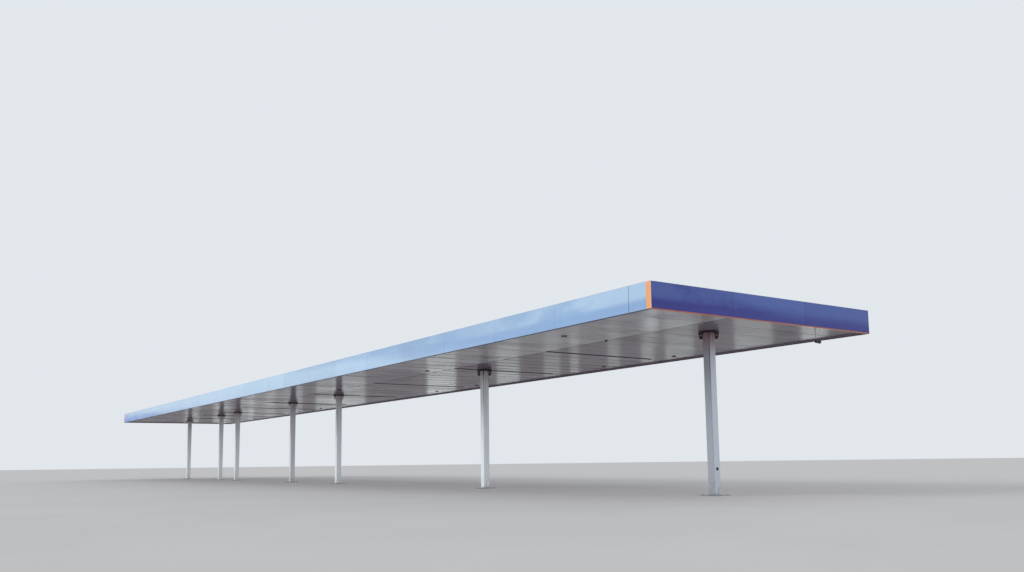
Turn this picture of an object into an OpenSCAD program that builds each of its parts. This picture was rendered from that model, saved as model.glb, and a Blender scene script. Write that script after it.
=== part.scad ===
// Filling station canopy, a 1:2 scale model: one row of square columns under a long flat roof.
// X runs along the roof, Y across it, Z up from the ground. All sizes are in millimetres.

/* [Roof] */
// Length of the roof over its fascia
roof_len = 37000; // [34000:100:39000]
// Width of the roof over its fascia
roof_w = 5100; // [4500:50:6000]
// Height of the soffit above the ground
soffit_h = 2750; // [2200:10:3500]
// Height of the fascia from its foot to the top of its coping
fascia_h = 410; // [380:5:520]
// Drop of the fascia foot below the soffit
foot_drop = 30; // [10:1:50]

/* [Columns] */
// Width of a column
col_w = 150; // [130:5:200]
// Wall of a column
col_wall = 8; // [4:1:12]
// Side of the square groove along each column corner
groove = 10; // [6:1:20]
// Near end of the roof to the middle of the first column
near_overhang = 1330; // [800:10:3000]
// Far end of the roof to the middle of the last column
far_overhang = 2120; // [800:10:3000]
// Bay between the first and the second column
bay_1 = 7130; // [2000:10:9000]
// Bay between the third and the fourth column
bay_3 = 4030; // [2000:10:9000]
// Bay between the fourth and the fifth column
bay_4 = 6320; // [2000:10:9000]
// Bay between the fifth and the sixth column
bay_5 = 2300; // [2000:10:9000]
// Bay between the sixth and the last column
bay_6 = 5200; // [2000:10:9000]

/* [Base plates] */
// Side of a base plate
base_w = 350; // [250:10:500]
// Thickness of a base plate
base_t = 12; // [8:1:25]
// Spacing of the anchor holes
anchor_pitch = 270; // [220:5:300]
// Diameter of an anchor hole
anchor_d = 14; // [8:1:24]

/* [Column heads] */
// Diameter of a head plate
head_d = 344; // [280:2:400]
// Thickness of a head plate
head_t = 14; // [8:1:20]
// Gap between a head plate and the soffit
head_gap = 12; // [8:1:60]
// Width of a neck post
neck_w = 120; // [80:5:140]
// Wall of a neck post
neck_wall = 8; // [5:1:15]
// Height of a head gusset
gusset_h = 104; // [60:2:160]
// Thickness of a head gusset
gusset_t = 10; // [6:1:14]
// Diameter of the hole in a head gusset
gusset_hole = 22; // [8:1:30]
// Head plate to the middle of that hole
gusset_eye = 36; // [20:1:60]
// Cut at the lower outer corner of a head gusset
gusset_cut = 12; // [2:1:24]

/* [Frame] */
// Gap between the soffit and the spine beam
spine_gap = 45; // [40:1:80]
// Depth of the spine beam
spine_d = 170; // [120:5:180]
// Flange width of the spine beam
spine_w = 110; // [80:5:160]
// Flange thickness of the spine beam
spine_f = 10; // [6:1:16]
// Web thickness of the spine beam
spine_web = 8; // [5:1:12]
// Largest spacing of the cross arms
arm_spacing = 4300; // [2500:50:5000]
// Depth of a cross arm at the spine
arm_d = 64; // [50:2:80]
// Depth of a cross arm at its tips
arm_tip = 36; // [24:2:50]
// Flange width of a cross arm
arm_w = 60; // [40:5:100]
// Flange thickness of a cross arm
arm_f = 6; // [4:1:10]
// Web thickness of a cross arm
arm_web = 5; // [4:1:10]
// Depth of a purlin beside the gutter
purlin_d = 28; // [20:1:36]
// Flange width of a purlin
purlin_w = 25; // [15:1:40]
// Wall of a purlin
purlin_t = 4; // [3:0.5:6]
// Side of a fascia rail
rail_w = 30; // [20:1:40]

/* [Roof deck] */
// Thickness of the roof sheets
deck_t = 4; // [3:0.5:6]
// Pitch of the standing seams
seam_pitch = 300; // [150:10:600]
// Height of a standing seam above the underside of its sheet
seam_h = 14; // [8:1:18]
// Width of a standing seam
seam_w = 10; // [6:1:20]
// Fall of the roof sheets to the gutter, in degrees
deck_fall = 0.7; // [0.3:0.1:0.9]
// Width of the valley gutter
gutter_w = 160; // [100:5:240]
// Depth of the valley gutter
gutter_d = 36; // [25:1:50]
// Wall of the valley gutter
gutter_t = 4; // [3:0.5:6]

/* [Fascia] */
// Depth of a fascia panel
panel_d = 20; // [12:1:30]
// Face thickness of a fascia panel
panel_t = 4; // [3:0.5:6]
// Nearest width of a fascia panel
panel_w = 1800; // [600:10:2400]
// Joint between fascia panels
panel_gap = 3; // [2:0.5:6]
// Long side corner to its first joint
corner_run = 466; // [300:2:900]
// Wider joint beside each corner
corner_gap = 9; // [3:0.5:14]
// Width of an upright corner strip
strip_w = 85; // [40:1:140]
// Width of the bead along each corner
bead_w = 6; // [4:1:12]
// Height of the strip along the foot of an end
foot_h = 21; // [10:1:40]
// Height of the trim along the foot of a long side
trim_h = 10; // [6:1:20]
// Thickness of a coping
coping_t = 4; // [3:0.5:6]
// Width of a coping
coping_w = 70; // [55:1:100]
// Drop of the inner leg of a coping
coping_leg = 28; // [15:1:40]

/* [Soffit] */
// Thickness of a soffit tray
tray_t = 4; // [3:0.5:6]
// Height of the upstands of a tray
tray_lip = 16; // [8:1:24]
// Nearest width of a tray behind the long joint
tray_w = 525; // [300:5:800]
// Nearest width of a tray in the front band
band_tray_w = 615; // [300:5:800]
// Joint between soffit trays
tray_gap = 7; // [2:0.5:10]
// Front of the roof to the long joint of the soffit
band_w = 1740; // [1200:10:2000]
// Width of the strip in the long joint
joint_w = 18; // [8:1:30]
// Set-back of that strip above the trays
joint_up = 6; // [0:1:10]
// Thickness of the trim round the edge of the soffit
edge_t = 4; // [3:0.5:8]
// Width of its flange under the trays
edge_flange = 18; // [8:1:40]
// Rear of the roof to the end of each cross channel
channel_end = 560; // [300:10:1500]
// Width of a cross channel
channel_w = 34; // [16:1:60]
// Depth of a cross channel
channel_d = 9; // [4:1:12]

/* [Fittings] */
// Diameter of a soffit lamp in the front row
lamp_d = 110; // [60:2:180]
// Diameter of a soffit lamp in the rear row
lamp_rear_d = 86; // [60:2:180]
// Drop of a soffit lamp below the soffit
lamp_drop = 12; // [6:1:30]
// Near end of the roof to the first front lamp
lamp_first = 2960; // [1000:10:5000]
// Front of the roof to the first front lamp
lamp_front = 720; // [300:10:1200]
// Near end of the roof to the second front lamp
lamp_second = 9240; // [6000:10:12000]
// Front of the roof to the second front lamp
lamp_inner = 1460; // [900:10:1600]
// Rear of the roof to the rear row of lamps
lamp_rear = 510; // [300:10:1200]
// Middle of a wide bay to its rear lamp on the near side
lamp_mid = 640; // [300:10:1500]
// Middle of a wide bay to its rear lamp on the far side
lamp_far = 1650; // [300:10:2000]
// Diameter of a sensor under the long joint
sensor_d = 60; // [30:5:90]
// Height of a sensor
sensor_h = 26; // [10:1:40]
// Near end of the roof to the first sensor
sensor_first = 3050; // [1000:10:4000]
// Spacing of the sensors
sensor_pitch = 12000; // [3000:100:15000]
// Near end of the roof to the pendant
pendant_end = 120; // [60:5:400]
// Rear of the roof to the pendant
pendant_rear = 1310; // [300:10:2000]
// Length of the pendant rod
rod_l = 205; // [80:5:400]
// Diameter of the pendant rod
rod_d = 12; // [8:1:24]
// Length of the pendant head
pendant_l = 120; // [60:5:200]
// Diameter of the pendant head
pendant_d = 56; // [30:2:90]
// Height of the outlet on the first column
outlet_h = 440; // [200:10:1200]
// Diameter of the outlet
outlet_d = 50; // [20:2:80]
// Thickness of the outlet
outlet_t = 12; // [6:1:30]

/* [Hidden] */
$fn = 48;
clear = 1;
half_l = roof_len / 2;
half_w = roof_w / 2;
foot_z = soffit_h - foot_drop;
top_h = foot_z + fascia_h;
inner_l = half_l - panel_d;
inner_w = half_w - panel_d;
joint_y = band_w - half_w;
bay_2 = roof_len - near_overhang - far_overhang - bay_1 - bay_3 - bay_4 - bay_5 - bay_6;
bays = [bay_1, bay_2, bay_3, bay_4, bay_5, bay_6];
function run(n) = n == 0 ? 0 : bays[n - 1] + run(n - 1);
col_x = [for (i = [0:6]) half_l - near_overhang - run(i)];
// Cross arms stand on each column and share each bay evenly
function arms_in(i) = ceil(bays[i] / arm_spacing);
bay_arms = [for (i = [0:5]) for (k = [0:arms_in(i) - 1]) col_x[i] - bays[i] * k / arms_in(i)];
stations = concat(bay_arms, [col_x[6]]);
wide_mid = [for (i = [0:5]) if (arms_in(i) > 1) col_x[i] - bays[i] / 2];
head_z = soffit_h - head_gap - head_t;
neck_z = soffit_h - head_gap;
spine_z = soffit_h + spine_gap;
arm_z = spine_z + spine_d;
arm_top = arm_z + arm_d;
frame_l = 2 * (inner_l - rail_w - 2 * clear);
arm_reach = inner_w - rail_w - 2 * clear;
panel_top = top_h - coping_t - clear;
rail_low = soffit_h + tray_lip + clear;
rail_high = top_h - coping_leg - rail_w - 2 * clear;

// Places its children at each column
module at_columns() {
    for (x = col_x) {
        translate([x, 0, 0])
            children();
    }
}

// Places its children at each corner of a square
module at_corners(pitch) {
    for (sx = [-1, 1], sy = [-1, 1]) {
        translate([sx * pitch / 2, sy * pitch / 2, 0])
            children();
    }
}

// Its children, and their mirror image across the length of the roof
module both_sides() {
    for (side = [0, 1]) {
        mirror([0, side, 0])
            children();
    }
}

// Its children, and their mirror image across the width of the roof
module both_ends() {
    for (end = [0, 1]) {
        mirror([end, 0, 0])
            children();
    }
}

// A box centred on X and Y that stands on z = 0
module slab(l, w, h) {
    translate([-l / 2, -w / 2, 0])
        cube([l, w, h]);
}

// A profile in Y and Z, drawn out along X about the middle of the roof
module along(l) {
    translate([-l / 2, 0, 0])
        rotate([90, 0, 90])
            linear_extrude(l)
                children();
}

// A square with a square notch in each corner
module notched(side, notch) {
    difference() {
        square(side, center = true);
        at_corners(side)
            square(2 * notch, center = true);
    }
}

module square_tube(side, wall) {
    difference() {
        square(side, center = true);
        square(side - 2 * wall, center = true);
    }
}

// A folded plate column, its corners set back into grooves
module column(n) {
    color("#b9b4b6")
        translate([col_x[n - 1], 0, base_t])
            linear_extrude(head_z - base_t)
                difference() {
                    notched(col_w, groove);
                    notched(col_w - 2 * col_wall, groove);
                }
}

module base_plates() {
    color("#6d6f72")
        at_columns()
            difference() {
                slab(base_w, base_w, base_t);
                at_corners(anchor_pitch)
                    translate([0, 0, -clear])
                        cylinder(d = anchor_d, h = base_t + 2 * clear);
            }
}

module head_plates() {
    color("#3a3436")
        at_columns()
            translate([0, 0, head_z])
                cylinder(d = head_d, h = head_t);
}

// Side view of a gusset: X outwards from the column, Y down from the head plate
module gusset_side() {
    reach = head_d / 2 - 4 * clear;
    // The plate stands in the groove, its inner edge just clear of the groove's corner
    root = (col_w / 2 - groove + clear) * sqrt(2) + gusset_t / 2;
    difference() {
        polygon([
            [root, 0], [reach, 0], [reach, 2 * head_t],
            [reach - gusset_cut, gusset_h - gusset_cut],
            [reach - 2 * gusset_cut, gusset_h], [root, gusset_h]
        ]);
        translate([(root + reach) / 2, gusset_eye])
            circle(d = gusset_hole);
    }
}

// Four upright plates under each head, from the column's grooves out to the plate's rim
module head_gussets() {
    color("#3a3436")
        at_columns()
            for (turn = [45:90:315]) {
                rotate([0, 0, turn])
                    translate([0, gusset_t / 2, head_z - clear])
                        rotate([-90, 0, 0])
                            translate([0, 0, -gusset_t])
                                linear_extrude(gusset_t)
                                    gusset_side();
            }
}

module neck_posts() {
    color("#6d6f72")
        at_columns()
            translate([0, 0, neck_z])
                linear_extrude(spine_z - neck_z)
                    square_tube(neck_w, neck_wall);
}

// An upright I profile that stands on the X axis
module i_profile(d, w, f, web) {
    for (z = [0, d - f]) {
        translate([-w / 2, z])
            square([w, f]);
    }
    translate([-web / 2, 0])
        square([web, d]);
}

module spine_beam() {
    color("#8b8f92")
        translate([0, 0, spine_z])
            along(frame_l)
                i_profile(spine_d, spine_w, spine_f, spine_web);
}

// Side view of a cross arm, level on top and tapered to its tips
module arm_side(inset) {
    reach = arm_reach + (inset > 0 ? clear : 0);
    polygon([
        [-reach, arm_d - inset], [reach, arm_d - inset],
        [reach, arm_d - arm_tip + inset], [spine_w / 2, inset],
        [-spine_w / 2, inset], [-reach, arm_d - arm_tip + inset]
    ]);
}

// A tapered I section, cut back on both sides of its web
module cross_arm() {
    pocket = (arm_w - arm_web) / 2;
    rotate([90, 0, 90])
        difference() {
            translate([0, 0, -arm_w / 2])
                linear_extrude(arm_w)
                    arm_side(0);
            for (z = [-arm_w / 2 - clear, arm_web / 2]) {
                translate([0, 0, z])
                    linear_extrude(pocket + clear)
                        arm_side(arm_f);
            }
        }
}

module cross_arms() {
    color("#8b8f92")
        for (x = stations) {
            translate([x, 0, arm_z])
                cross_arm();
        }
}

// Height that the roof fall adds at a distance from the middle
function rise(y) = y * tan(deck_fall);
purlin_y = [for (i = [0:2]) gutter_w / 2 + 340 + i * (inner_w - gutter_w / 2 - 700) / 2];

// Channel purlins, each as deep as the roof fall asks at its place
module purlins() {
    color("#a3a8ab")
        for (y = purlin_y) {
            d = purlin_d + rise(y);
            translate([0, y, arm_top])
                along(frame_l)
                    difference() {
                        square([purlin_w, d]);
                        translate([purlin_t, purlin_t])
                            square([purlin_w, d - 2 * purlin_t]);
                    }
        }
}

module purlins_front() {
    mirror([0, 1, 0])
        purlins();
}

module purlins_rear() {
    purlins();
}

// Half of the roof: a sheet that falls to the gutter, its seams down the slope
module roof_deck() {
    sheet_l = 2 * (inner_l - coping_w);
    reach = (inner_w - coping_w - gutter_w / 2) / cos(deck_fall);
    seams = floor(sheet_l / seam_pitch) - 1;
    color("#9aa0a3")
        translate([0, gutter_w / 2, arm_top + purlin_d + rise(gutter_w / 2) + clear])
            rotate([deck_fall, 0, 0])
                translate([0, reach, 0])
                    rotate([90, 0, 0])
                        linear_extrude(reach)
                            union() {
                                translate([-sheet_l / 2, 0])
                                    square([sheet_l, deck_t]);
                                for (i = [0:seams]) {
                                    translate([(i - seams / 2) * seam_pitch - seam_w / 2, 0])
                                        square([seam_w, seam_h]);
                                }
                            }
}

module roof_deck_front() {
    mirror([0, 1, 0])
        roof_deck();
}

module roof_deck_rear() {
    roof_deck();
}

module valley_gutter() {
    outer = gutter_w - 2 * clear;
    color("#9aa0a3")
        translate([0, 0, arm_top + clear])
            along(2 * (inner_l - coping_w))
                difference() {
                    translate([-outer / 2, 0])
                        square([outer, gutter_d]);
                    translate([-outer / 2 + gutter_t, gutter_t])
                        square([outer - 2 * gutter_t, gutter_d]);
                }
}

// A shallow pan with returned edges, its face on y = 0 and open to the back
module panel(l, h) {
    difference() {
        cube([l, panel_d - clear, h]);
        translate([panel_t, panel_t, panel_t])
            cube([l - 2 * panel_t, panel_d, h - 2 * panel_t]);
    }
}

// Panels side by side from x0 to x1
module panel_run(x0, x1, h) {
    n = max(1, round((x1 - x0) / panel_w));
    pitch = (x1 - x0) / n;
    for (i = [0:n - 1]) {
        translate([x0 + i * pitch + panel_gap / 2, 0, 0])
            panel(pitch - panel_gap, h);
    }
}

long_n = round((roof_len - 2 * corner_run) / panel_w);
long_joints = [for (i = [0:long_n]) (roof_len - 2 * corner_run) * (i / long_n - 0.5)];

module fascia_long() {
    z = foot_z + trim_h;
    h = panel_top - z;
    edge = half_l - corner_run;
    color("#8fb4e4")
        translate([0, -half_w, z]) {
            panel_run(-edge, edge, h);
            both_ends()
                translate([edge + corner_gap, 0, 0])
                    panel(corner_run - corner_gap - strip_w - clear, h);
        }
}

module fascia_front() {
    fascia_long();
}

module fascia_rear() {
    mirror([0, 1, 0])
        fascia_long();
}

module fascia_end() {
    z = foot_z + foot_h;
    color("#474a98")
        translate([half_l, 0, z])
            rotate([0, 0, 90])
                panel_run(-inner_w, inner_w, panel_top - z);
}

module fascia_end_near() {
    fascia_end();
}

module fascia_end_far() {
    mirror([1, 0, 0])
        fascia_end();
}

// A bar that stands on the long foot trim, w wide, its outer side inset from the end
module corner_bar(w, inset) {
    z = foot_z + trim_h;
    both_ends()
        translate([half_l - inset - w, -half_w, z])
            cube([w, panel_d - clear, panel_top - z]);
}

module corner_strips() {
    color("#f7a55c")
        corner_bar(strip_w - bead_w - clear, bead_w + clear);
}

// A flat that closes each front corner on the side of the end
module corner_beads() {
    color("#e6d6c4")
        corner_bar(bead_w, 0);
}

module rear_corner_covers() {
    color("#474a98")
        mirror([0, 1, 0])
            corner_bar(strip_w, 0);
}

module end_foot_strips() {
    color("#cf7450")
        both_ends()
            translate([half_l - panel_d, -inner_w, foot_z])
                cube([panel_d, 2 * inner_w, foot_h - clear]);
}

module long_foot_trims() {
    color("#35353f")
        both_sides()
            translate([-half_l, -half_w, foot_z])
                cube([roof_len, panel_d - clear, trim_h - clear]);
}

// Two rails tied by uprights behind the fascia, its outer face on y = 0
module rail_ladder(l, uprights) {
    for (z = [rail_low, rail_high]) {
        translate([-l / 2, 0, z])
            cube([l, rail_w, rail_w]);
    }
    for (x = uprights) {
        translate([x - rail_w / 2, 0, rail_low])
            cube([rail_w, rail_w, rail_high - rail_low]);
    }
}

module fascia_frame_front() {
    color("#8b8f92")
        translate([0, clear - inner_w, 0])
            rail_ladder(2 * (inner_l - clear), long_joints);
}

module fascia_frame_rear() {
    mirror([0, 1, 0])
        fascia_frame_front();
}

module fascia_frame_ends() {
    n = round(2 * inner_w / panel_w);
    joints = [for (i = [1:n - 1]) 2 * inner_w * (i / n - 0.5)];
    color("#8b8f92")
        both_ends()
            translate([inner_l - clear, 0, 0])
                rotate([0, 0, 90])
                    rail_ladder(2 * (inner_w - rail_w - 2 * clear), joints);
}

// A cap with an inner leg, its outer edge on y = 0 and its top on z = 0
module coping(l) {
    along(l) {
        translate([0, -coping_t])
            square([coping_w, coping_t]);
        translate([coping_w - coping_t, -coping_leg])
            square([coping_t, coping_leg]);
    }
}

module coping_front() {
    color("#7da3d8")
        translate([0, -half_w, top_h])
            coping(roof_len);
}

module coping_rear() {
    mirror([0, 1, 0])
        coping_front();
}

module coping_ends() {
    color("#474a98")
        both_ends()
            translate([half_l, 0, top_h])
                rotate([0, 0, 90])
                    coping(2 * (half_w - coping_w - clear));
}

// A soffit tray with two upstands, its face down on z = 0
module tray(l, w) {
    cube([l, w, tray_t]);
    for (x = [0, l - tray_t]) {
        translate([x, 0, 0])
            cube([tray_t, w, tray_lip]);
    }
}

// Trays side by side from x0 to x1, near the asked width
module tray_run(x0, x1, y0, y1, nearest) {
    n = max(1, round((x1 - x0) / nearest));
    pitch = (x1 - x0) / n;
    for (i = [0:n - 1]) {
        translate([x0 + i * pitch + tray_gap / 2, y0, soffit_h])
            tray(pitch - tray_gap, y1 - y0);
    }
}

// Room for the neck posts
module neck_room() {
    at_columns()
        translate([0, 0, neck_z])
            slab(neck_w + 2 * tray_gap, neck_w + 2 * tray_gap, head_gap + 2 * tray_lip);
}

module soffit_front_band() {
    edge = inner_l - clear;
    color("#9a9c9c")
        tray_run(-edge, edge, clear - inner_w, joint_y - joint_w / 2 - clear, band_tray_w);
}

module soffit_field() {
    edge = inner_l - clear;
    breaks = concat([edge], stations, [-edge]);
    color("#8d8c8e")
        difference() {
            for (i = [0:len(breaks) - 2]) {
                tray_run(breaks[i + 1], breaks[i], joint_y + joint_w / 2 + clear,
                    inner_w - clear, tray_w);
            }
            neck_room();
        }
}

module soffit_joint_strip() {
    color("#55505a")
        translate([clear - inner_l, joint_y - joint_w / 2, soffit_h + joint_up])
            cube([2 * (inner_l - clear), joint_w, tray_lip - joint_up]);
}

// An angle round the soffit, inside the foot of the fascia
module soffit_edge_trim() {
    l = 2 * (inner_l - clear);
    w = 2 * (inner_w - clear);
    color("#2c2830")
        translate([0, 0, foot_z])
            difference() {
                slab(l, w, foot_drop - clear);
                translate([0, 0, -clear])
                    slab(l - 2 * edge_t, w - 2 * edge_t, foot_drop - edge_t);
                translate([0, 0, -clear])
                    slab(l - 2 * edge_flange, w - 2 * edge_flange, foot_drop + clear);
            }
}

// Channels under the soffit between the end columns, from the long joint towards the rear
module cross_channels() {
    y0 = joint_y + joint_w / 2 + clear;
    color("#4a444c")
        difference() {
            for (i = [1:len(stations) - 2]) {
                translate([stations[i] - channel_w / 2, y0, soffit_h - channel_d - clear])
                    cube([channel_w, half_w - channel_end - y0, channel_d]);
            }
            neck_room();
        }
}

module soffit_lamp(x, y, size) {
    translate([x, y, soffit_h - clear - lamp_drop])
        cylinder(d = size, h = lamp_drop);
}

module soffit_lamps() {
    color("#2f2d33") {
        soffit_lamp(half_l - lamp_first, lamp_front - half_w, lamp_d);
        soffit_lamp(half_l - lamp_second, lamp_inner - half_w, lamp_d);
        for (x = wide_mid) {
            soffit_lamp(x + lamp_mid, half_w - lamp_rear, lamp_rear_d);
            soffit_lamp(x - lamp_far, half_w - lamp_rear, lamp_rear_d);
        }
    }
}

module joint_sensors() {
    last = floor((roof_len - 2 * sensor_first) / sensor_pitch);
    color("#2f2d33")
        for (i = [0:last]) {
            translate([half_l - sensor_first - i * sensor_pitch, joint_y,
                soffit_h - clear - sensor_h])
                cylinder(d1 = 0.7 * sensor_d, d2 = sensor_d, h = sensor_h);
        }
}

module at_pendant() {
    translate([half_l - pendant_end, half_w - pendant_rear, soffit_h - clear])
        children();
}

module pendant_rod() {
    color("#2f2d33")
        at_pendant()
            translate([0, 0, -rod_l])
                cylinder(d = rod_d, h = rod_l);
}

// A small round housing that lies under the end of the rod
module pendant_head() {
    color("#2f2d33")
        at_pendant()
            translate([0, -rod_d, -rod_l - clear - pendant_d / 2])
                rotate([-90, 0, 0])
                    cylinder(d = pendant_d, h = pendant_l);
}

module column_outlet() {
    color("#2f2d33")
        translate([col_x[0] + col_w / 2 + clear, 0, outlet_h])
            rotate([0, 90, 0])
                cylinder(d = outlet_d, h = outlet_t);
}

column(1);  // column_1
column(2);  // column_2
column(3);  // column_3
column(4);  // column_4
column(5);  // column_5
column(6);  // column_6
column(7);  // column_7
base_plates();
head_plates();
head_gussets();
neck_posts();
spine_beam();
cross_arms();
purlins_front();
purlins_rear();
fascia_frame_front();
fascia_frame_rear();
fascia_frame_ends();
roof_deck_front();
roof_deck_rear();
valley_gutter();
fascia_front();
fascia_rear();
fascia_end_near();
fascia_end_far();
corner_strips();
corner_beads();
rear_corner_covers();
end_foot_strips();
long_foot_trims();
coping_front();
coping_rear();
coping_ends();
soffit_front_band();
soffit_field();
soffit_joint_strip();
soffit_edge_trim();
cross_channels();
soffit_lamps();
joint_sensors();
pendant_rod();
pendant_head();
column_outlet();
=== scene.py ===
"""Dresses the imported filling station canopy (a 1:2 scale model) and sets up its studio picture.

Every length is in metres in the model's own frame: X along the roof, Y across it, Z up.
"""

import logging
import math
from abc import ABC, abstractmethod
from dataclasses import dataclass, field, replace
from enum import Enum
from itertools import product
from typing import Iterable, Optional, Sequence

import bmesh
import bpy
from mathutils import Matrix, Vector


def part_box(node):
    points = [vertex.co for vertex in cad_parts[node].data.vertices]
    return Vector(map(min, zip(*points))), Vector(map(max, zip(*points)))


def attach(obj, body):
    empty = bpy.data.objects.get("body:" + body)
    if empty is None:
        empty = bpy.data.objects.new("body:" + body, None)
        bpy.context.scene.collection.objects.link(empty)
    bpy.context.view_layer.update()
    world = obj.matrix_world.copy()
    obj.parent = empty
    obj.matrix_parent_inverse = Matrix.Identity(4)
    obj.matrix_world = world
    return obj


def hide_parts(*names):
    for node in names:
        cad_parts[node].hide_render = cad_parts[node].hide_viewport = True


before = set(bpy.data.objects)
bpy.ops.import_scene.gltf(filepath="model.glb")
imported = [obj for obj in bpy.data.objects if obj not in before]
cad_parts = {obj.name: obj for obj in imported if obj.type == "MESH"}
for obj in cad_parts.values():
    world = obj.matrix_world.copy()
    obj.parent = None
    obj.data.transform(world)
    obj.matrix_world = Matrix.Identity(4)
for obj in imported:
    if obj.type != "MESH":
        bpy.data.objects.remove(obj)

LOG = logging.getLogger("canopy")
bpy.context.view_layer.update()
Socket = bpy.types.NodeSocket
Material = bpy.types.Material
Box = tuple[Vector, Vector]
Colour = tuple[float, float, float]
Triple = tuple[float, float, float]
Pair = tuple[float, float]
Profile = Sequence[Pair]


class Slot(Enum):
    """Names of the record's material slots, handed to new pieces but not used."""

    GALVANISED = "galvanised_steel"
    DARK = "dark_metal"


class Surface(Enum):
    """The canopy's surfaces, each by the name of its material."""

    SKY = "sky_blue_coating"
    INDIGO = "indigo_coating"
    ORANGE = "orange_gloss"
    # The corner beads' pale cream is a painted highlight of the lit corner edge.
    HIGHLIGHT_BEAD = "painted_highlight_gloss"
    # The end foot strips are the orange strip paint, darkened as painted shade.
    SHADED_ORANGE = "shaded_orange_gloss"
    TRIM = "trim_paint"
    FIELD = "soffit_field_sheet"
    BAND = "soffit_band_sheet"
    EDGE = "soffit_edge_paint"
    JOINT = "joint_strip_paint"
    CHANNEL = "channel_paint"
    ROD = "rod_paint"
    FITTING = "fitting_paint"
    LENS = "smoked_lens"
    HEAD = "dark_head_paint"
    GUSSET = "gusset_paint"
    ZINC = "galvanised_zinc"
    ROOF = "mill_sheet"


class Axis(Enum):
    """An axis of the frame, by its number in a vector."""

    X = 0
    Y = 1
    Z = 2


class Ease(Enum):
    """How a value passes from one range to another."""

    STRAIGHT = "LINEAR"
    SMOOTH = "SMOOTHSTEP"


@dataclass(frozen=True)
class Run:
    """Sheets of one pitch side by side.

    Attributes:
        low: Where the run starts.
        high: Where it ends.
        count: How many sheets stand in it.
    """

    low: float
    high: float
    count: int


def rgb(red: float, green: float, blue: float) -> Colour:
    """Turns display values from 0 to 255 into a linear colour.

    Args:
        red: The red value.
        green: The green value.
        blue: The blue value.

    Returns:
        The linear colour.
    """
    def one(value: float) -> float:
        """One channel, by the sRGB curve."""
        value /= 255.0
        return value / 12.92 if value <= 0.04045 else ((value + 0.055) / 1.055) ** 2.4

    return one(red), one(green), one(blue)


def dimmed(colour: Colour, share: float) -> Colour:
    """A colour with each channel times a share."""
    return tuple(share * channel for channel in colour)


def even(scale: float) -> Triple:
    """One scale for all three axes."""
    return scale, scale, scale


def centre(low: Vector, high: Vector) -> Triple:
    """The middle of a box."""
    return tuple((start + end) / 2 for start, end in zip(low, high))


def at(x: float, y: float, z: float, turn: Optional[Matrix] = None) -> Matrix:
    """A place in the frame, with the rotation that is made before the move."""
    move = Matrix.Translation((x, y, z))
    return move @ turn if turn is not None else move


def as_mesh(made: bmesh.types.BMesh, name: str) -> bpy.types.Mesh:
    """Turns a bmesh into a mesh, and frees it.

    Args:
        made: The bmesh.
        name: The mesh's name.

    Returns:
        The mesh.
    """
    data = bpy.data.meshes.new(name)
    made.to_mesh(data)
    made.free()
    return data


def stand(name: str, data: bpy.types.ID) -> bpy.types.Object:
    """Adds an object to the scene.

    Args:
        name: Its name.
        data: Its mesh, lamp or camera.

    Returns:
        The object.
    """
    piece = bpy.data.objects.new(name, data)
    bpy.context.scene.collection.objects.link(piece)
    return piece


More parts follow.
